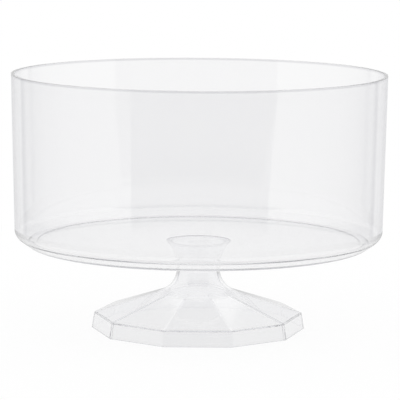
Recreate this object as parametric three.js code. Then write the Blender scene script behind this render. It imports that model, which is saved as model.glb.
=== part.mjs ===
// A clear footed trifle bowl made of two plastic mouldings: a straight-sided round bowl, and a
// hollow pedestal whose ten-sided foot runs up into a round hourglass stem. A low boss under the bowl's
// floor drops into the open mouth of the stem's collar and centres the bowl, which lifts off for packing.
// Millimetres, +Z up. The origin is on the table under the middle of the foot, and -Y is the front.

import * as THREE from 'three';
import { mergeVertices } from 'three/addons/utils/BufferGeometryUtils.js';

// Bowl
const rimRadius = 120;
const bowlHeight = 109.7;
const bowlWall = 2;
const wallDraft = THREE.MathUtils.degToRad(1.15);
const floorThickness = 2.2;
const heelWidth = 8.9;
const heelRise = 6.4;
const heelCornerRadius = 1.2;
const bossHeight = 0.8;
const recessRadius = 20.6;
const recessDepth = 0.35;

// Pedestal
const pedestalHeight = 55;
const pedestalWall = 2;
const footSides = 10;
const footRadius = 68.5;
const shoulderRadius = 66.9;
const footBandHeight = 10.4;
const flareFootRadius = 26.2;
const flareRadius = 15;
const flareTurn = THREE.MathUtils.degToRad(59);
const neckRadius = 14;
const neckHeight = 38.8;
const collarRadius = 20.6;

// Fit of the bowl on the pedestal: round the boss and under the floor alike
const fitClearance = 0.3;

// Smoothness of the round forms
const bowlSegments = 96;
const facetColumns = 6;
const arcSteps = 7;
const cornerSteps = 3;

// Where the bowl seats
const undersideHeight = pedestalHeight + fitClearance;
const rimHeight = undersideHeight + bowlHeight;

// The collar flares in one arc from the neck to the seat.
const collarRise = pedestalHeight - neckHeight;
const collarReach = collarRadius - neckRadius;
const collarFlareRadius = (collarRise ** 2 + collarReach ** 2) / (2 * collarReach);
const collarCentre = new THREE.Vector2(neckRadius + collarFlareRadius, neckHeight);

const clearPlastic = { color: 0xe9eef0, roughness: 0.06, metalness: 0, transparent: true, opacity: 0.35 };

// Points along an arc in the (radius, height) plane, both ends included.
function arc(centre, radius, fromAngle, toAngle) {
  const curve = new THREE.EllipseCurve(
    centre.x, centre.y, radius, radius, fromAngle, toAngle, toAngle < fromAngle);
  return curve.getPoints(arcSteps);
}

// A small round in place of the corner b of the path a, b, c.
function roundedCorner(a, b, c, radius) {
  const back = a.clone().sub(b);
  const ahead = c.clone().sub(b);
  const turn = Math.PI - back.angleTo(ahead);
  const reach = radius * Math.tan(turn / 2);
  const start = b.clone().add(back.setLength(reach));
  const end = b.clone().add(ahead.setLength(reach));
  return new THREE.QuadraticBezierCurve(start, b, end).getPoints(cornerSteps);
}

// Left-hand normal of the line from a to b: the side on which the material of an outer wall lies.
function inward(a, b) {
  return new THREE.Vector2(a.y - b.y, b.x - a.x).normalize();
}

// The inner corner of a bent wall of even thickness, opposite the outer corner b of the path a, b, c.
function innerCorner(a, b, c, wall) {
  const first = inward(a, b);
  const second = inward(b, c);
  const mitre = first.clone().add(second).divideScalar(1 + first.dot(second));
  return b.clone().addScaledVector(mitre, wall);
}

// Leaves only positions, with the seam and the poles closed, and stands the Y axis of a lathe up along Z.
function closed(lathe) {
  lathe.deleteAttribute('normal');
  lathe.deleteAttribute('uv');
  const merged = mergeVertices(lathe);
  const index = merged.getIndex().array;
  const kept = [];
  for (let i = 0; i < index.length; i += 3) {
    const [a, b, c] = index.slice(i, i + 3);
    if (a !== b && b !== c && c !== a) {
      kept.push(a, b, c);
    }
  }
  merged.setIndex(kept);
  merged.rotateX(Math.PI / 2);
  merged.computeVertexNormals();
  return merged;
}

function namedMesh(name, geometry) {
  const mesh = new THREE.Mesh(geometry, new THREE.MeshStandardMaterial(clearPlastic));
  mesh.name = name;
  return mesh;
}

// The drafted outer side of the bowl, moved in by a share of the wall.
function sideRadius(height, depthInWall) {
  const outer = rimRadius - (rimHeight - height) * Math.tan(wallDraft);
  return outer - depthInWall / Math.cos(wallDraft);
}

// Radius of the collar's open mouth at a height.
function mouthRadius(height) {
  const innerFlareRadius = collarFlareRadius + pedestalWall;
  return collarCentre.x - Math.sqrt(innerFlareRadius ** 2 - (height - neckHeight) ** 2);
}

// Radius of the boss at a height: the mouth's own form, moved up and in by the clearance.
function bossRadius(height) {
  return mouthRadius(height - fitClearance) - fitClearance;
}

// One revolved section: boss, flat floor, bevelled heel, drafted wall and full-round rim. The inner
// line follows the outer one at the wall's thickness, down to a shallow recess where the melt came in.
function bowl() {
  const insideHeight = undersideHeight + floorThickness;
  const bossTipHeight = undersideHeight - bossHeight;
  const rimRound = bowlWall / 2;
  const rimCentreHeight = rimHeight - rimRound;
  const rimCentre = new THREE.Vector2(sideRadius(rimCentreHeight, rimRound), rimCentreHeight);

  const bossTip = new THREE.Vector2(bossRadius(bossTipHeight), bossTipHeight);
  const bossRoot = new THREE.Vector2(bossRadius(undersideHeight), undersideHeight);
  const heelFoot = new THREE.Vector2(sideRadius(undersideHeight, 0) - heelWidth, undersideHeight);
  const heelTop = new THREE.Vector2(sideRadius(undersideHeight + heelRise, 0), undersideHeight + heelRise);
  const rim = new THREE.Vector2(rimRadius, rimHeight);

  const innerRim = new THREE.Vector2(sideRadius(rimHeight, bowlWall), rimHeight);
  const innerHeelTop = innerCorner(heelFoot, heelTop, rim, bowlWall);
  const heelSlope = (heelTop.x - heelFoot.x) / heelRise;
  const innerHeelReach = innerHeelTop.x - (innerHeelTop.y - insideHeight) * heelSlope;
  const innerHeelFoot = new THREE.Vector2(innerHeelReach, insideHeight);
  const recessEdge = new THREE.Vector2(recessRadius, insideHeight);
  const recessFoot = new THREE.Vector2(recessRadius - recessDepth / 2, insideHeight - recessDepth);

  const section = [
    new THREE.Vector2(0, bossTipHeight),
    bossTip,
    bossRoot,
    ...roundedCorner(bossRoot, heelFoot, heelTop, heelCornerRadius),
    ...roundedCorner(heelFoot, heelTop, rim, heelCornerRadius),
    ...arc(rimCentre, rimRound, -wallDraft, Math.PI - wallDraft),
    ...roundedCorner(innerRim, innerHeelTop, innerHeelFoot, heelCornerRadius),
    ...roundedCorner(innerHeelTop, innerHeelFoot, recessEdge, heelCornerRadius),
    recessEdge,
    recessFoot,
    new THREE.Vector2(0, recessFoot.y),
  ];
  return namedMesh('bowl', closed(new THREE.LatheGeometry(section, bowlSegments)));
}

// How far a side of the foot lies from the axis at an angle from the front, as a share of the
// distance to its corners. A flat side faces the front.
function sideShare(angle) {
  const half = Math.PI / footSides;
  const fromMiddle = THREE.MathUtils.euclideanModulo(angle + half, 2 * half) - half;
  return Math.cos(half) / Math.cos(fromMiddle);
}

// One revolved wall of even thickness whose lower rings are pressed out to ten flat sides, so that
// each facet is flat from its edge of the foot up to the flare, where the stem turns round.
function pedestal() {
  const cornerToMiddle = Math.cos(Math.PI / footSides);
  const base = new THREE.Vector2(footRadius * cornerToMiddle, 0);
  const shoulder = new THREE.Vector2(shoulderRadius * cornerToMiddle, footBandHeight);

  const flareCentre = new THREE.Vector2(neckRadius + flareRadius, neckHeight);
  const lowerOuter = arc(flareCentre, flareRadius, Math.PI + flareTurn, Math.PI);
  const skirtTop = lowerOuter[0];
  const flareFootReach = flareFootRadius * cornerToMiddle;
  const skirtDrop = (flareFootReach - skirtTop.x) / Math.tan(flareTurn);
  const flareFoot = new THREE.Vector2(flareFootReach, skirtTop.y - skirtDrop);

  const innerFlareRadius = collarFlareRadius + pedestalWall;
  const outerTurn = Math.asin(collarRise / collarFlareRadius);
  const innerTurn = Math.asin(collarRise / innerFlareRadius);
  const upperOuter = arc(collarCentre, collarFlareRadius, Math.PI, Math.PI - outerTurn);
  const upperInner = arc(collarCentre, innerFlareRadius, Math.PI - innerTurn, Math.PI);
  const lowerInner = arc(flareCentre, flareRadius + pedestalWall, Math.PI, Math.PI + flareTurn);

  const innerFlareFoot = innerCorner(shoulder, flareFoot, skirtTop, pedestalWall);
  const innerShoulder = innerCorner(base, shoulder, flareFoot, pedestalWall);
  const bandLean = (base.x - shoulder.x) / footBandHeight;
  const innerBase = new THREE.Vector2(innerShoulder.x + innerShoulder.y * bandLean, 0);

  const sided = new Set([base, shoulder, flareFoot, innerFlareFoot, innerShoulder, innerBase]);
  const section = [
    base,
    shoulder,
    flareFoot,
    ...lowerOuter,
    ...upperOuter.slice(1),
    ...upperInner,
    ...lowerInner.slice(1),
    innerFlareFoot,
    innerShoulder,
    innerBase,
    base,
  ];
  const columns = footSides * facetColumns;
  const lathe = new THREE.LatheGeometry(section, columns);
  const positions = lathe.getAttribute('position');
  for (let i = 0; i < positions.count; i += 1) {
    if (sided.has(section[i % section.length])) {
      const spread = sideShare(Math.atan2(positions.getX(i), positions.getZ(i))) / cornerToMiddle;
      positions.setX(i, positions.getX(i) * spread);
      positions.setZ(i, positions.getZ(i) * spread);
    }
  }
  return namedMesh('pedestal', closed(lathe));
}

const footedBowl = new THREE.Group();
footedBowl.add(pedestal(), bowl());

export default footedBowl;
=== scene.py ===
# %% [markdown]
# # A clear footed trifle bowl
# The object is two thin clear mouldings: a straight-sided round bowl, and the hollow pedestal that it
# lifts off. The CAD solids could be dressed as they are, but clear plastic shows each of their facets
# as a bent line in what lies behind. So the CAD model comes in as a fixed frame, which gives the sizes,
# the places and the moving bodies, and each moulding is made again as a smooth wall in the same box.

# %% Load the frame
import math

import bmesh
import bpy
from mathutils import Euler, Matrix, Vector


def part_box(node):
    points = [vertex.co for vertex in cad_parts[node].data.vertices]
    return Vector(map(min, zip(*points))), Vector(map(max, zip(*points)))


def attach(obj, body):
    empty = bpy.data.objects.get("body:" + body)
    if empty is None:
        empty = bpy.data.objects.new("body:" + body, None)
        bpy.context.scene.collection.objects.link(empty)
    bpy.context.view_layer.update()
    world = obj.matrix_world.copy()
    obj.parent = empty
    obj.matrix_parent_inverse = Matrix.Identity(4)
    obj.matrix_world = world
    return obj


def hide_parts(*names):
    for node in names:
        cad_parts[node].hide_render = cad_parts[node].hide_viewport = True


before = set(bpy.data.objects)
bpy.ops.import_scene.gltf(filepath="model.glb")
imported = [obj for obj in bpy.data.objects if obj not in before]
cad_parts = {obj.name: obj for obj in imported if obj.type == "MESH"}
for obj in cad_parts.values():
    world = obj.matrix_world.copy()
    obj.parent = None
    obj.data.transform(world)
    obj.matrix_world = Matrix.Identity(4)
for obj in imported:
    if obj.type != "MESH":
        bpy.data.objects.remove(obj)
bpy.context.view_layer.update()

# %% [markdown]
# ## Sizes
# The frame gives the outer sizes: how wide and how high each moulding is. What it can't give, such as
# a wall thickness or the radius of a round, is a named value in metres. They are written here only
# where both mouldings use them, and the others come where they are first needed.

# %% Sizes that both mouldings use
MM = 0.001
bowl_low, bowl_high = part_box("bowl")
_, pedestal_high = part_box("pedestal")
fit_clearance = 0.3 * MM
pedestal_wall = 2 * MM
neck_radius = 14 * MM
neck_height = 38.8 * MM
collar_radius = 20.6 * MM
seat_height = pedestal_high.z
collar_rise = seat_height - neck_height
collar_reach = collar_radius - neck_radius
collar_flare = (collar_rise ** 2 + collar_reach ** 2) / (2 * collar_reach)


def mouth_radius(height):
    """Radius of the stem's open mouth, inside its collar, at a height."""
    inner_flare = collar_flare + pedestal_wall
    return neck_radius + collar_flare - math.sqrt(inner_flare ** 2 - (height - neck_height) ** 2)


print(f"bowl {2 * bowl_high.x / MM:.1f} mm across, rim {bowl_high.z / MM:.1f} mm above the table")
print(f"foot {2 * pedestal_high.x / MM:.1f} mm across its corners, seat at {seat_height / MM:.1f} mm")

# %% [markdown]
# ## Drawing a section
# Both mouldings are walls of revolution, so both start as a section: a line of a few corners in the XZ
# plane, where X is the radius. A corner is rounded by a vertex bevel, which lays an arc into it, as a
# mould maker gives a corner a radius. A curved subdivision could round them too, but it would pull
# the straight runs out of line, and in clear plastic that shows.

# %% Helpers that draw and round a section
degrees_per_step = 6


def draw_line(bm, corners):
    """Joins corners, given as (radius, height), and returns their vertices."""
    verts = [bm.verts.new((radius, 0, height)) for radius, height in corners]
    for start, end in zip(verts, verts[1:]):
        bm.edges.new((start, end))
    return verts


def round_corner(bm, corner, radius):
    """Lays an arc of that radius into a corner where two edges meet."""
    first, second = (edge.other_vert(corner).co - corner.co for edge in corner.link_edges)
    turn = math.pi - first.angle(second)
    bmesh.ops.bevel(
        bm, geom=[corner], offset=radius * math.tan(turn / 2), offset_type="OFFSET", affect="VERTICES",
        segments=math.ceil(math.degrees(turn) / degrees_per_step), profile=0.5, material=-1)


def inner_corner(before, corner, after, wall):
    """The corner of a wall's inner line, opposite the corner of its outer line that runs up past it."""
    first = (corner - before).orthogonal().normalized()
    second = (after - corner).orthogonal().normalized()
    return corner + (first + second) * wall / (1 + first.dot(second))


def divide_long_runs(bm, longest):
    """Cuts straight runs so that the quads of the wall aren't thin slivers."""
    for edge in bm.edges[:]:
        cuts = math.floor(edge.calc_length() / longest)
        if cuts:
            bmesh.ops.subdivide_edges(bm, edges=[edge], cuts=cuts)


# %% [markdown]
# ## Turning a section into a moulding
# Spinning the section once round gives the wall, as a potter's wheel or a lathe would. The spin copies
# each point on the axis many times, so doubles are merged before the normals are recalculated.
# Smooth shading alone would smear the small rounds over the long flat quads beside them. A Weighted
# Normal modifier lets the large faces keep their own direction, so a round ends where it should.

# %% Helpers that spin a section and finish a piece
merge_distance = 0.001 * MM


def spin_round(bm, steps):
    """Spins the whole section once round the Z axis and closes the seam and the poles."""
    bmesh.ops.spin(
        bm, geom=bm.verts[:] + bm.edges[:], cent=(0, 0, 0), axis=(0, 0, 1), dvec=(0, 0, 0),
        angle=2 * math.pi, steps=steps, use_merge=True, use_duplicate=False)
    bmesh.ops.remove_doubles(bm, verts=bm.verts[:], dist=merge_distance)
    bmesh.ops.recalc_face_normals(bm, faces=bm.faces[:])


def make_piece(bm, name):
    """Turns a bmesh into a smooth piece at the origin."""
    for face in bm.faces:
        face.smooth = True
    mesh = bpy.data.meshes.new(name)
    bm.to_mesh(mesh)
    bm.free()
    piece = bpy.data.objects.new(name, mesh)
    bpy.context.scene.collection.objects.link(piece)
    normals = piece.modifiers.new("even_normals", "WEIGHTED_NORMAL")
    normals.keep_sharp = False
    print(f"{name}: {len(mesh.vertices)} vertices, {len(mesh.polygons)} faces")
    return piece


# %% [markdown]
# ## The bowl
# On the real bowl a side that leans out by about a degree lets the moulding leave its mould. The floor
# is flat, and a bevel joins it to the side through a soft bend of even thickness, so light runs round
# the bend and doesn't get lost in a sharp corner. The rim is a flat lip with small rounds. A low boss
# under the floor drops into the mouth of the stem and centres the bowl, and a shallow round recess
# above it marks where the melt came in. The plate that formed the floor was a separate piece of the
# mould, and left a low step round its edge. All of it is one section, drawn as its sharp corners.

# %% Sizes of the bowl
rim_height = bowl_high.z
rim = Vector((bowl_high.x, rim_height))
bowl_wall = 2 * MM
wall_draft = math.radians(1.15)
heel_width = 8.9 * MM
heel_rise = 6.4 * MM
floor_thickness = 2.2 * MM
underside = seat_height + fit_clearance
inside_floor = underside + floor_thickness
boss_tip = bowl_low.z
recess_radius = 20.6 * MM
recess_floor = inside_floor - 0.35 * MM
plate_radius = 103.5 * MM
plate_edge = inside_floor + 0.35 * MM
print(f"floor {inside_floor / MM:.2f} mm above the table, boss {(underside - boss_tip) / MM:.2f} mm deep")

# %% [markdown]
# The corners follow from these sizes, in order from the axis under the boss, out and up to the rim, and
# back down inside. The inner corners could be typed in as numbers too, but worked out from the outer
# ones they keep the wall even. The bend has one centre for both faces, so its inner round is smaller
# by the wall.

# %% Corners of the bowl's section
heel_round = 6 * MM
heel_foot_round = 2 * MM
inner_foot_round = 0.5 * MM
lip_round = 0.24 * MM
boss_round = 0.3 * MM
step_round = 0.1 * MM


def side_radius(height, depth):
    """Radius of the leaning side at a height, that deep inside the wall."""
    outside = rim.x - (rim_height - height) * math.tan(wall_draft)
    return outside - depth / math.cos(wall_draft)


def boss_radius(height):
    """Radius of the boss: the mouth's own form, moved up and in by the clearance."""
    return mouth_radius(height - fit_clearance) - fit_clearance


def step_foot(top_radius, top, foot):
    """Radius at the foot of a small step in the floor, which leans in by half its height."""
    return top_radius - (top - foot) / 2


heel_foot = Vector((side_radius(underside, 0) - heel_width, underside))
heel_top = Vector((side_radius(underside + heel_rise, 0), underside + heel_rise))
inner_heel_top = inner_corner(heel_foot, heel_top, rim, bowl_wall)
heel_slope = (heel_top.x - heel_foot.x) / heel_rise
inner_heel_reach = inner_heel_top.x - (inner_heel_top.y - plate_edge) * heel_slope
bowl_corners = [
    (0, boss_tip, 0),
    (boss_radius(boss_tip), boss_tip, boss_round),
    (boss_radius(underside), underside, boss_round),
    (*heel_foot, heel_foot_round),
    (*heel_top, heel_round),
    (*rim, lip_round),
    (side_radius(rim_height, bowl_wall), rim_height, lip_round),
    (*inner_heel_top, heel_round - bowl_wall),
    (inner_heel_reach, plate_edge, inner_foot_round),
    (plate_radius, plate_edge, step_round),
    (step_foot(plate_radius, plate_edge, inside_floor), inside_floor, step_round),
    (recess_radius, inside_floor, step_round),
    (step_foot(recess_radius, inside_floor, recess_floor), recess_floor, step_round),
    (0, recess_floor, 0),
]
print("bowl section:", len(bowl_corners), "corners")
print(f"heel from {heel_foot.x / MM:.2f} to {heel_top.x / MM:.2f} mm from the axis")

# %% Spin the bowl
bowl_steps = 240
longest_run = 12 * MM
bm = bmesh.new()
bowl_line = draw_line(bm, [(radius, height) for radius, height, _ in bowl_corners])
for corner, (_, _, rounding) in zip(bowl_line, bowl_corners):
    if rounding:
        round_corner(bm, corner, rounding)
divide_long_runs(bm, longest_run)
spin_round(bm, bowl_steps)
bowl = make_piece(bm, "clear_bowl")
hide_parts("bowl")
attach(bowl, "bowl")

# %% [markdown]
# ## The pedestal
# The stem is an hourglass: a neck that flares out below into the foot and above into a collar under the
# bowl. Its two curves are arcs that meet at the neck, so each is drawn by spinning the neck's own
# vertex about the arc's centre. The inner wall has the same centres and a radius larger by the wall.

# %% Curves of the stem
flare_radius = 15 * MM
flare_turn = math.radians(59)
arc_degrees_per_step = 4


def draw_arc(bm, start, centre_radius, turn):
    """Carries a vertex round a centre at the neck's height and returns the vertex at the arc's end."""
    steps = math.ceil(math.degrees(abs(turn)) / arc_degrees_per_step)
    arc = bmesh.ops.spin(
        bm, geom=[start], cent=(centre_radius, 0, neck_height), axis=(0, 1, 0), dvec=(0, 0, 0),
        angle=turn, steps=steps, use_merge=False, use_duplicate=False)
    return arc["geom_last"][0]


def draw_stem_side(bm, depth):
    """Draws one side of the stem's wall, that deep inside it, and returns its lower and upper end."""
    neck = bm.verts.new((neck_radius - depth, 0, neck_height))
    lower_end = draw_arc(bm, neck, neck_radius + flare_radius, -flare_turn)
    collar_turn = math.asin(collar_rise / (collar_flare + depth))
    upper_end = draw_arc(bm, neck, neck_radius + collar_flare, collar_turn)
    return lower_end, upper_end


bm = bmesh.new()
flare_end, collar_outside = draw_stem_side(bm, 0)
inner_flare_end, collar_inside = draw_stem_side(bm, pedestal_wall)
bm.edges.new((collar_outside, collar_inside))
print(f"collar {2 * collar_outside.co.x / MM:.1f} mm across, mouth {2 * collar_inside.co.x / MM:.1f} mm")

# %% [markdown]
# Below the flare the foot is ten flat facets with a low upright band, open underneath. Its corners are
# measured at the middle of a flat side. The inner corners lie opposite the outer ones at an even wall,
# on the line that halves each bend: a mitre, as in a picture frame.

# %% Corners of the foot
foot_sides = 10
half_side = math.pi / foot_sides
side_middle = math.cos(half_side)
foot_radius = pedestal_high.x
shoulder_radius = 66.9 * MM
band_height = 10.4 * MM
facet_top_radius = 26.2 * MM

flare_drop = (facet_top_radius * side_middle - flare_end.co.x) / math.tan(flare_turn)
base = Vector((foot_radius * side_middle, 0))
shoulder = Vector((shoulder_radius * side_middle, band_height))
facet_top = Vector((facet_top_radius * side_middle, flare_end.co.z - flare_drop))

inner_top = inner_corner(shoulder, facet_top, flare_end.co.xz, pedestal_wall)
inner_shoulder = inner_corner(base, shoulder, facet_top, pedestal_wall)
band_lean = (base.x - shoulder.x) / band_height
inner_base = Vector((inner_shoulder.x + inner_shoulder.y * band_lean, 0))
sided_corners = [facet_top, shoulder, base, inner_base, inner_shoulder, inner_top]
foot_line = draw_line(bm, sided_corners)
bm.edges.new((flare_end, foot_line[0]))
bm.edges.new((inner_flare_end, foot_line[-1]))
print("foot section in mm:", [tuple(round(value / MM, 2) for value in corner) for corner in sided_corners])

# %% [markdown]
# The spin makes the foot round. Its corner rings are then pressed out to ten sides: a point keeps its
# direction from the axis, and moves out until it lies on a straight side. The steps of the spin are a
# multiple of the sides, so a column of points falls on each corner. After that every edge that is
# still sharp gets the small radius that a polished mould leaves.

# %% Spin the pedestal and press the foot to ten sides
columns_per_side = 24
ring_tolerance = 0.01 * MM
spin_round(bm, foot_sides * columns_per_side)


def press_to_sides(bm, corner):
    """Moves the ring of points that a corner of the section left behind out to the flat sides."""
    for vert in bm.verts:
        off_radius = abs(vert.co.xy.length - corner.x)
        off_height = abs(vert.co.z - corner.y)
        if off_radius < ring_tolerance and off_height < ring_tolerance:
            from_front = math.atan2(vert.co.x, -vert.co.y)
            from_middle = (from_front + half_side) % (2 * half_side) - half_side
            vert.co.xy *= 1 / math.cos(from_middle)


for corner in sided_corners:
    press_to_sides(bm, corner)
print("foot pressed to", foot_sides, "sides of", columns_per_side, "columns each")

# %% Round the sharp edges
edge_round = 0.12 * MM
edge_segments = 3
sharp_angle = math.radians(5)
sharp_edges = [edge for edge in bm.edges if edge.calc_face_angle() > sharp_angle]
bmesh.ops.bevel(
    bm, geom=sharp_edges, offset=edge_round, offset_type="OFFSET", affect="EDGES", segments=edge_segments,
    profile=0.5, material=-1)
bmesh.ops.recalc_face_normals(bm, faces=bm.faces[:])
print("sharp edges rounded:", len(sharp_edges))
pedestal = make_piece(bm, "clear_pedestal")
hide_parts("pedestal")
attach(pedestal, "pedestal")

# %% [markdown]
# ## Finish of the plastic, and painted edge shade
# Clear polystyrene leaves a polished mould almost like glass, but not quite. It has faint flow lines, a
# slightly uneven skin and fine hairlines from handling. Where the two halves of the mould meet, the
# edge gets painted shade: a darker tint that draws the dark line along a clear edge. Image textures could
# hold this, but noise that is worked out from the Object coordinates is sharp at any distance. Both
# mouldings use it, so it is a node group, with its own values in each.

# %% A node group for the moulded finish and the painted edge shade
finish_and_shade = bpy.data.node_groups.new("moulded_finish_and_shade", "ShaderNodeTree")
finish_inputs = {
    "Place": "NodeSocketVector",
    "Flow Lines": "NodeSocketFloat",
    "Hairline Scale": "NodeSocketFloat",
    "Melt": "NodeSocketColor",
    "Parting Height": "NodeSocketFloat",
    "Parting Dullness": "NodeSocketFloat",
}
finish_outputs = {
    "Tint": "NodeSocketColor",
    "Roughness": "NodeSocketFloat",
    "Height": "NodeSocketFloat",
}
for socket_name, socket_type in finish_inputs.items():
    finish_and_shade.interface.new_socket(socket_name, in_out="INPUT", socket_type=socket_type)
for socket_name, socket_type in finish_outputs.items():
    finish_and_shade.interface.new_socket(socket_name, in_out="OUTPUT", socket_type=socket_type)


def add_node(tree, kind, **settings):
    """Adds a node, and sets its properties and, by socket number or name, its inputs."""
    node = tree.nodes.new(kind)
    for key, value in settings.pop("inputs", {}).items():
        node.inputs[key].default_value = value
    for key, value in settings.items():
        setattr(node, key, value)
    return node


group_in = add_node(finish_and_shade, "NodeGroupInput")
group_out = add_node(finish_and_shade, "NodeGroupOutput")
print("finish group:", len(finish_inputs), "inputs,", len(finish_outputs), "outputs")

# %% [markdown]
# The melt flows out from the middle and up the wall, and sets in faint streaks along its way. A wave
# texture could draw them, but too evenly. Here noise is read mostly by the direction from the axis,
# and only a little by the place itself, so it runs up the wall in long streaks.

# %% Flow lines
flow_per_metre = 8
across = add_node(finish_and_shade, "ShaderNodeVectorMath", operation="MULTIPLY", inputs={1: (1, 1, 0)})
direction = add_node(finish_and_shade, "ShaderNodeVectorMath", operation="NORMALIZE")
round_axis = add_node(finish_and_shade, "ShaderNodeVectorMath", operation="SCALE")
along = add_node(finish_and_shade, "ShaderNodeVectorMath", operation="MULTIPLY_ADD", inputs={1: [flow_per_metre] * 3})
flow = add_node(finish_and_shade, "ShaderNodeTexNoise", inputs={"Scale": 1, "Detail": 2})
finish_and_shade.links.new(group_in.outputs["Place"], across.inputs[0])
finish_and_shade.links.new(across.outputs[0], direction.inputs[0])
finish_and_shade.links.new(direction.outputs[0], round_axis.inputs[0])
finish_and_shade.links.new(group_in.outputs["Flow Lines"], round_axis.inputs["Scale"])
finish_and_shade.links.new(group_in.outputs["Place"], along.inputs[0])
finish_and_shade.links.new(round_axis.outputs[0], along.inputs[2])
finish_and_shade.links.new(along.outputs[0], flow.inputs["Vector"])
print("flow lines:", len(finish_and_shade.nodes), "nodes so far")

# %% [markdown]
# The skin of the plastic shrinks a little unevenly as it cools, over a few millimetres. Real dents could
# be modelled, but they are far too shallow to see as a shape, so they only join the flow lines in the
# height that a Bump node reads.

# %% Uneven skin
skin_scale = 160
skin_share = 0.08
skin = add_node(finish_and_shade, "ShaderNodeTexNoise", inputs={"Scale": skin_scale, "Detail": 1})
surface = add_node(finish_and_shade, "ShaderNodeMath", operation="MULTIPLY_ADD", inputs={1: skin_share})
finish_and_shade.links.new(group_in.outputs["Place"], skin.inputs["Vector"])
finish_and_shade.links.new(skin.outputs["Fac"], surface.inputs[0])
finish_and_shade.links.new(flow.outputs["Fac"], surface.inputs[2])
finish_and_shade.links.new(surface.outputs[0], group_out.inputs["Height"])
print("uneven skin:", len(finish_and_shade.nodes), "nodes so far")

# %% [markdown]
# Wiping and stacking leave fine hairlines, which only show as a slightly rougher gloss. Drawn one by one
# they would be thousands of curves. The thin borders between Voronoi cells give the same net of lines,
# and noise that bends the cells first keeps them from looking straight and drawn with a ruler.

# %% Hairlines
bend_scale = 30
bend_reach = 0.03
hairline_width = 0.012
hairline_roughness = 0.1
polished_roughness = 0.025
bend = add_node(finish_and_shade, "ShaderNodeTexNoise", inputs={"Scale": bend_scale, "Detail": 1})
bent = add_node(finish_and_shade, "ShaderNodeVectorMath", operation="MULTIPLY_ADD", inputs={1: [bend_reach] * 3})
cells = add_node(finish_and_shade, "ShaderNodeTexVoronoi", feature="DISTANCE_TO_EDGE")
hairline = add_node(finish_and_shade, "ShaderNodeMapRange", inputs={
    "From Min": 0, "From Max": hairline_width, "To Min": hairline_roughness, "To Max": polished_roughness})
finish_and_shade.links.new(group_in.outputs["Place"], bend.inputs["Vector"])
finish_and_shade.links.new(bend.outputs["Color"], bent.inputs[0])
finish_and_shade.links.new(group_in.outputs["Place"], bent.inputs[2])
finish_and_shade.links.new(bent.outputs[0], cells.inputs["Vector"])
finish_and_shade.links.new(group_in.outputs["Hairline Scale"], cells.inputs["Scale"])
finish_and_shade.links.new(cells.outputs["Distance"], hairline.inputs["Value"])
finish_and_shade.links.new(hairline.outputs[0], group_out.inputs["Roughness"])
print("hairlines:", len(finish_and_shade.nodes), "nodes so far")

# %% [markdown]
# The colour of the plastic is a breath paler where the melt flowed fast. At the parting line, where the
# halves of the mould meet, the tint is painted darker: painted shade for the dark line along the edge. It
# could be a separate band of faces with its own material, but the distance from a height does it without a
# seam, and fades out softly.

# %% Tint and painted shade at the parting line
pale_melt = (0.99, 0.99, 0.992, 1)
# Painted shade: the grey that darkens the tint near the parting line.
painted_edge_shade = (0.5, 0.5, 0.53, 1)
edge_shade_reach = 1.0 * MM
clear_reach = 1.7 * MM
streaked = add_node(finish_and_shade, "ShaderNodeMix", data_type="RGBA")
streaked.inputs["B"].default_value = pale_melt
upright = add_node(finish_and_shade, "ShaderNodeSeparateXYZ")
from_parting = add_node(finish_and_shade, "ShaderNodeMath", operation="SUBTRACT")
distance = add_node(finish_and_shade, "ShaderNodeMath", operation="ABSOLUTE")
# How much painted shade the edge gets. It fades out away from the parting line.
dullness = add_node(finish_and_shade, "ShaderNodeMapRange", inputs={
    "From Min": edge_shade_reach, "From Max": clear_reach, "To Max": 0})
tint = add_node(finish_and_shade, "ShaderNodeMix", data_type="RGBA")
tint.inputs["B"].default_value = painted_edge_shade
finish_and_shade.links.new(flow.outputs["Fac"], streaked.inputs["Factor"])
finish_and_shade.links.new(group_in.outputs["Melt"], streaked.inputs["A"])
finish_and_shade.links.new(group_in.outputs["Place"], upright.inputs[0])
finish_and_shade.links.new(upright.outputs["Z"], from_parting.inputs[0])
finish_and_shade.links.new(group_in.outputs["Parting Height"], from_parting.inputs[1])
finish_and_shade.links.new(from_parting.outputs[0], distance.inputs[0])
finish_and_shade.links.new(distance.outputs[0], dullness.inputs["Value"])
finish_and_shade.links.new(group_in.outputs["Parting Dullness"], dullness.inputs["To Min"])
finish_and_shade.links.new(dullness.outputs[0], tint.inputs["Factor"])
finish_and_shade.links.new(streaked.outputs["Result"], tint.inputs["A"])
finish_and_shade.links.new(tint.outputs["Result"], group_out.inputs["Tint"])
print("finish group:", len(finish_and_shade.nodes), "nodes in all")

# %% [markdown]
# ## The clear plastic
# A glass shader with the refractive index of polystyrene bends and mirrors light as the real wall does.
# A see-through mix of shaders would be quicker to render, but it has no thickness. A faint absorption
# inside the wall does the rest: light that crosses a wall loses little, and light that is caught in an
# edge and runs along it loses more, so edges are the darkest lines.

# %% Materials of the two mouldings
polystyrene_index = 1.59
wall_grey = (0.87, 0.87, 0.88, 1)


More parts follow.
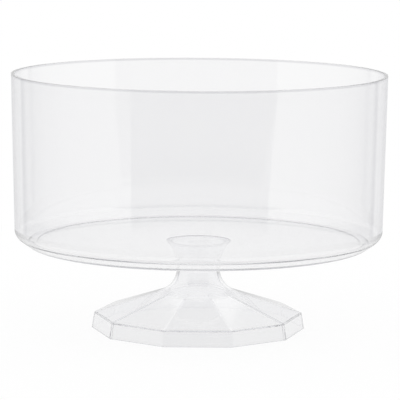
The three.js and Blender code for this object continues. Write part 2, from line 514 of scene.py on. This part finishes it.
def clear_plastic(name, density, ripple_depth, **finish_values):
    """A clear material; the values that follow go to the finish group's inputs of the same name."""
    material = bpy.data.materials.new(name)
    material.use_nodes = True
    tree = material.node_tree
    shader = tree.nodes["Principled BSDF"]
    shader.inputs["Transmission Weight"].default_value = 1
    shader.inputs["IOR"].default_value = polystyrene_index
    place = add_node(tree, "ShaderNodeTexCoord")
    moulded = add_node(tree, "ShaderNodeGroup", node_tree=finish_and_shade)
    for socket_name, value in finish_values.items():
        moulded.inputs[socket_name.replace("_", " ").title()].default_value = value
    ripple = add_node(tree, "ShaderNodeBump", inputs={"Strength": 1, "Distance": ripple_depth})
    inside = add_node(tree, "ShaderNodeVolumeAbsorption", inputs={"Color": wall_grey, "Density": density})
    tree.links.new(place.outputs["Object"], moulded.inputs["Place"])
    tree.links.new(moulded.outputs["Tint"], shader.inputs["Base Color"])
    tree.links.new(moulded.outputs["Roughness"], shader.inputs["Roughness"])
    tree.links.new(moulded.outputs["Height"], ripple.inputs["Height"])
    tree.links.new(ripple.outputs["Normal"], shader.inputs["Normal"])
    tree.links.new(inside.outputs["Volume"], tree.nodes["Material Output"].inputs["Volume"])
    return material


# The parting values put painted shade on the bowl's rim and on the pedestal's bottom edge.
bowl.data.materials.append(clear_plastic(
    "bowl_plastic", density=6, ripple_depth=0.012 * MM, melt=(0.98, 0.98, 0.982, 1), flow_lines=9,
    hairline_scale=45, parting_height=rim_height, parting_dullness=0.35))
pedestal.data.materials.append(clear_plastic(
    "pedestal_plastic", density=2, ripple_depth=0.003 * MM, melt=(0.97, 0.972, 0.982, 1), flow_lines=4,
    hairline_scale=70, parting_height=0, parting_dullness=0.05))
print("materials:", bowl.data.materials[0].name, pedestal.data.materials[0].name)

# %% [markdown]
# ## The floor
# The bowl stands on a white table that keeps its soft shadow. A square plane would do, but its corners
# would show in the bowl, which mirrors the room beyond the table. So the top is round, and ends well
# past the picture's edge. It lies a hair below the foot, so that the two never share a surface.

# %% A round white table top
table_radius = 0.45
table_gap = 0.05 * MM
table_segments = 96
bm = bmesh.new()
bmesh.ops.create_circle(bm, cap_ends=True, segments=table_segments, radius=table_radius)
bmesh.ops.translate(bm, verts=bm.verts[:], vec=(0, 0, -table_gap))
table_mesh = bpy.data.meshes.new("table_top")
bm.to_mesh(table_mesh)
bm.free()
table = bpy.data.objects.new("table_top", table_mesh)
bpy.context.scene.collection.objects.link(table)
print("table top:", 2 * table_radius, "m across")

# %% [markdown]
# The paper on the table glows as on a light table, and round the bowl the camera sees it pure white.
# Through the plastic it carries painted shade instead: its glow is a little grey near the foot, where
# the bowl's shadow would fall. More lamps would only burn it out, so the camera sees white, and a ray
# through the plastic the painted shade. Glossy Depth counts how often a ray was mirrored on its way.
# In a mirrored ray the paper also dims towards its edge, because else that edge would cross the wall of the
# bowl as a hard line.

# %% Paper that glows, with painted shade near the foot
# Painted shadow on the paper: in rays through the plastic its glow is dimmer near the foot.
painted_shade_near_foot = 0.915
painted_shade_far_out = 0.985
painted_shade_reach = 4 * foot_radius
dim_from = 2 * foot_radius
dim_at_edge = 0.5
glow_share = 0.95
first_mirror = 0.5
white = (1, 1, 1, 1)
table_white = bpy.data.materials.new("table_white")
table_white.use_nodes = True
table_tree = table_white.node_tree
paper = add_node(table_tree, "ShaderNodeBsdfDiffuse", inputs={"Color": white})
glow = add_node(table_tree, "ShaderNodeEmission", inputs={"Color": white})
spot = add_node(table_tree, "ShaderNodeTexCoord")
from_axis = add_node(table_tree, "ShaderNodeVectorMath", operation="LENGTH")
# Painted shadow: the glow is dimmest at the foot and brightens outwards.
shade = add_node(table_tree, "ShaderNodeMapRange", inputs={
    "From Min": foot_radius, "From Max": painted_shade_reach, "To Min": painted_shade_near_foot, "To Max": painted_shade_far_out})
fall_off = add_node(table_tree, "ShaderNodeMapRange", inputs={
    "From Min": dim_from, "From Max": table_radius, "To Min": 1, "To Max": dim_at_edge})
table_ray = add_node(table_tree, "ShaderNodeLightPath")
direct = add_node(table_tree, "ShaderNodeMath", operation="LESS_THAN", inputs={1: first_mirror})
lit = add_node(table_tree, "ShaderNodeMath", operation="MAXIMUM")
painted_shade_level = add_node(table_tree, "ShaderNodeMath", operation="MULTIPLY")
paper_white = add_node(table_tree, "ShaderNodeMath", operation="MAXIMUM")
lit_from_below = add_node(table_tree, "ShaderNodeMixShader", inputs={"Fac": glow_share})
table_tree.links.new(spot.outputs["Object"], from_axis.inputs[0])
table_tree.links.new(from_axis.outputs["Value"], shade.inputs["Value"])
table_tree.links.new(from_axis.outputs["Value"], fall_off.inputs["Value"])
table_tree.links.new(table_ray.outputs["Glossy Depth"], direct.inputs[0])
table_tree.links.new(fall_off.outputs[0], lit.inputs[0])
table_tree.links.new(direct.outputs[0], lit.inputs[1])
table_tree.links.new(shade.outputs[0], painted_shade_level.inputs[0])
table_tree.links.new(lit.outputs[0], painted_shade_level.inputs[1])
table_tree.links.new(painted_shade_level.outputs[0], paper_white.inputs[0])
table_tree.links.new(table_ray.outputs["Is Camera Ray"], paper_white.inputs[1])
table_tree.links.new(paper_white.outputs[0], glow.inputs["Strength"])
table_tree.links.new(paper.outputs[0], lit_from_below.inputs[1])
table_tree.links.new(glow.outputs[0], lit_from_below.inputs[2])
table_tree.links.new(lit_from_below.outputs[0], table_tree.nodes["Material Output"].inputs["Surface"])
table.data.materials.append(table_white)
print("table paper:", len(table_tree.nodes), "nodes")

# %% [markdown]
# ## Light
# A clear thing on white is drawn by what it mirrors. The room is white straight through the plastic, and
# it lights the table evenly. Only a ray that was mirrored on its way sees the studio round the table:
# soft boxes at the left and right, the dim side with the camera, and the pale backdrop. The upright
# wall mirrors what lies below the horizon; the floor of the bowl and the foot mirror what lies above.
# Lamps could stand there instead, but rings of grey levels are free of noise and easy to turn.

# %% Directions in the world's nodes
scene = bpy.context.scene
studio = bpy.data.worlds.new("studio")
studio.use_nodes = True
studio.cycles.sampling_method = "NONE"
scene.world = studio
tree = studio.node_tree
look = add_node(tree, "ShaderNodeTexCoord")
parts = add_node(tree, "ShaderNodeSeparateXYZ")
towards = add_node(tree, "ShaderNodeMath", operation="MULTIPLY", inputs={1: -1})
round_room = add_node(tree, "ShaderNodeMath", operation="ARCTAN2")
share = add_node(tree, "ShaderNodeMath", operation="MULTIPLY_ADD", inputs={1: 0.5 / math.pi, 2: 0.5})
tree.links.new(look.outputs["Generated"], parts.inputs[0])
tree.links.new(parts.outputs["Y"], towards.inputs[0])
tree.links.new(parts.outputs["X"], round_room.inputs[0])
tree.links.new(towards.outputs[0], round_room.inputs[1])
tree.links.new(round_room.outputs[0], share.inputs[0])
print("directions:", len(tree.nodes), "nodes")

# %% [markdown]
# The studio is built of rings, one above the other. A ring has its own grey levels round the room, and
# one ring changes over into the next between two elevations. An angle round the room is 0 degrees on
# the camera's side, 90 at the right and 180 behind the bowl. Shade in a white room is a little blue.

# %% Helpers that make rings and stack them
ring_blur = 1.5
blue_in_shade = 0.06


def share_at(angle):
    """The share of the way round the room at an angle in degrees, from 0 to 1."""
    return angle / 360 + 0.5


def height_at(elevation):
    """The height of a direction at an elevation in degrees."""
    return math.sin(math.radians(elevation))


def add_ring(levels):
    """A ring of grey levels, each from its angle on."""
    ring = add_node(tree, "ShaderNodeValToRGB")
    tree.links.new(share.outputs[0], ring.inputs["Fac"])
    stops = [(0, levels[0][1])]
    for (_, before), (angle, after) in zip(levels, levels[1:]):
        stops.append((share_at(angle - ring_blur), before))
        stops.append((share_at(angle + ring_blur), after))
    elements = ring.color_ramp.elements
    elements.remove(elements[0])
    elements[0].position = 0
    for position, _ in stops[1:]:
        elements.new(position)
    for element, (_, level) in zip(elements, stops):
        element.color = (level, level, level + blue_in_shade * (1 - level), 1)
    return ring.outputs["Color"]


def change_over(lower, upper, low_elevation, high_elevation):
    """Goes from one colour to another between two elevations in degrees."""
    rise = add_node(tree, "ShaderNodeMapRange", inputs={
        "From Min": height_at(low_elevation), "From Max": height_at(high_elevation)})
    mix = add_node(tree, "ShaderNodeMix", data_type="RGBA")
    tree.links.new(parts.outputs["Z"], rise.inputs["Value"])
    tree.links.new(rise.outputs[0], mix.inputs["Factor"])
    tree.links.new(lower, mix.inputs["A"])
    tree.links.new(upper, mix.inputs["B"])
    return mix.outputs["Result"]


# %% [markdown]
# A ring's colour ramp is stored in 256 steps, too coarse for a sharp border. So two things are cut out by
# comparing the angle itself: the dim side with the camera, whose borders lean and cross the wall of the
# bowl, and the bright upright panel behind the bowl, whose edges cross two flat sides of the foot.

# %% Helpers that cut a sharp patch out of a ring
lean_low = -10
lean_top = -3.7


def leaning_border(low_angle, top_angle, low_elevation=lean_low):
    """The angle of a border that leans from one angle to another as it rises from an elevation."""
    border = add_node(tree, "ShaderNodeMapRange", inputs={
        "From Min": height_at(low_elevation), "From Max": height_at(lean_top),
        "To Min": share_at(low_angle), "To Max": share_at(top_angle)})
    tree.links.new(parts.outputs["Z"], border.inputs["Value"])
    return border.outputs[0]


def upright_border(angle):
    """The angle of a border that doesn't lean."""
    return leaning_border(angle, angle)


def cut_out(inside, outside, left_border, right_border):
    """One colour between two borders and another beside them."""
    after_left = add_node(tree, "ShaderNodeMath", operation="GREATER_THAN")
    before_right = add_node(tree, "ShaderNodeMath", operation="LESS_THAN")
    between = add_node(tree, "ShaderNodeMath", operation="MULTIPLY")
    mix = add_node(tree, "ShaderNodeMix", data_type="RGBA")
    tree.links.new(share.outputs[0], after_left.inputs[0])
    tree.links.new(left_border, after_left.inputs[1])
    tree.links.new(share.outputs[0], before_right.inputs[0])
    tree.links.new(right_border, before_right.inputs[1])
    tree.links.new(after_left.outputs[0], between.inputs[0])
    tree.links.new(before_right.outputs[0], between.inputs[1])
    tree.links.new(between.outputs[0], mix.inputs["Factor"])
    tree.links.new(outside, mix.inputs["A"])
    tree.links.new(inside, mix.inputs["B"])
    return mix.outputs["Result"]


# %% [markdown]
# Below the horizon, the wall of the bowl mirrors the soft boxes beside the camera and, in its middle, the
# dim side between them. That side ends above the table, so the floor of the bowl stays even.

# %% The studio below the horizon
sides_below = add_ring([
    (-180, 0.8), (-155, 0.85), (-140, 0.5), (-134, 0.65), (134, 0.5), (140, 0.85), (155, 0.8)])
dim = add_ring([(-180, 0.3)])
dimmest = add_ring([(-180, 0.05)])
camera_side = cut_out(
    change_over(dimmest, dim, -10.5, -8.8), sides_below,
    leaning_border(-41.8, -51.3, low_elevation=-5.4), leaning_border(43, 56))
below = change_over(sides_below, camera_side, -10.9, -10.6)
print("studio below the horizon:", len(tree.nodes), "nodes so far")

# %% [markdown]
# Above the horizon, the floor of the bowl and the band of the foot mirror the lower walls, and the facets
# of the foot mirror the upper ones. There the bright panel stands behind the bowl, under the ceiling.

# %% The studio above the horizon
above = add_ring([(-180, 1), (-140, 0.7), (-60, 0.35), (60, 0.7), (140, 1)])
high = add_ring([(-180, 0.66), (-150, 0.95), (-60, 0.1), (60, 0.95), (150, 0.66)])
beside_panel = add_ring([(-180, 0.78), (-150, 0.95), (-60, 0.1), (60, 0.95), (150, 0.86)])
bright = add_ring([(-180, 1.3)])
ceiling = add_ring([(-180, 0.9)])
panel = cut_out(beside_panel, bright, upright_border(-167), upright_border(166.5))
walls = change_over(below, above, -1, 2)
upper_walls = change_over(walls, high, 14, 24)
panel_foot = change_over(upper_walls, panel, 29, 31)
panel_top = change_over(panel_foot, high, 43, 45)
room = change_over(panel_top, ceiling, 50, 60)
print("studio above the horizon:", len(tree.nodes), "nodes so far")

# %% [markdown]
# Glossy Depth also tells what a ray may see of the room. One that was never mirrored sees white, and one
# that was mirrored once sees the studio. One that was mirrored more often was caught in an edge, and
# can come out anywhere. It meets one mean level, because a sharp studio would only make such edges
# speckled.

# %% What each ray sees
second_mirror = 1.5
caught_light = (0.77, 0.77, 0.79, 1)
room_ray = add_node(tree, "ShaderNodeLightPath")
mirrored = add_node(tree, "ShaderNodeMath", operation="GREATER_THAN", inputs={1: first_mirror})
trapped = add_node(tree, "ShaderNodeMath", operation="GREATER_THAN", inputs={1: second_mirror})
met = add_node(tree, "ShaderNodeMix", data_type="RGBA")
met.inputs["B"].default_value = caught_light
seen = add_node(tree, "ShaderNodeMix", data_type="RGBA")
seen.inputs["A"].default_value = white
tree.links.new(room_ray.outputs["Glossy Depth"], mirrored.inputs[0])
tree.links.new(mirrored.outputs[0], seen.inputs["Factor"])
tree.links.new(room_ray.outputs["Glossy Depth"], trapped.inputs[0])
tree.links.new(trapped.outputs[0], met.inputs["Factor"])
tree.links.new(room, met.inputs["A"])
tree.links.new(met.outputs["Result"], seen.inputs["B"])
tree.links.new(seen.outputs["Result"], tree.nodes["Background"].inputs["Color"])
print("studio:", len(tree.nodes), "nodes in all")

# %% [markdown]
# ## The camera
# The photograph was taken with a long lens from a little above the rim. The distance, height and tilt
# come from fitting a pinhole camera to the ellipses of the rim and floor and the corners of the foot.
# Judging them by eye would do for a sketch, but a fit puts every edge within a pixel or two. Light can
# bounce many times inside a clear wall, so the limits of the bounces are high.

# %% Place the camera
tilt_down = 0.1389
turn_right = 0.0005
lean_sideways = math.radians(0.4)
most_bounces = 128
camera_data = bpy.data.cameras.new("camera")
camera_data.lens = 228.2
camera_data.sensor_width = 36
camera = bpy.data.objects.new("camera", camera_data)
camera.location = (0, -1.6118, 0.30875)
roll = Euler((0, 0, lean_sideways)).to_matrix()
aim = Euler((math.pi / 2 - tilt_down, 0, -turn_right)).to_matrix()
camera.rotation_euler = (aim @ roll).to_euler()
scene.collection.objects.link(camera)
scene.camera = camera
scene.view_settings.view_transform = "Standard"
scene.cycles.max_bounces = most_bounces
scene.cycles.glossy_bounces = most_bounces
scene.cycles.transmission_bounces = most_bounces
print("camera", round(camera.location.length, 3), "m from the foot")
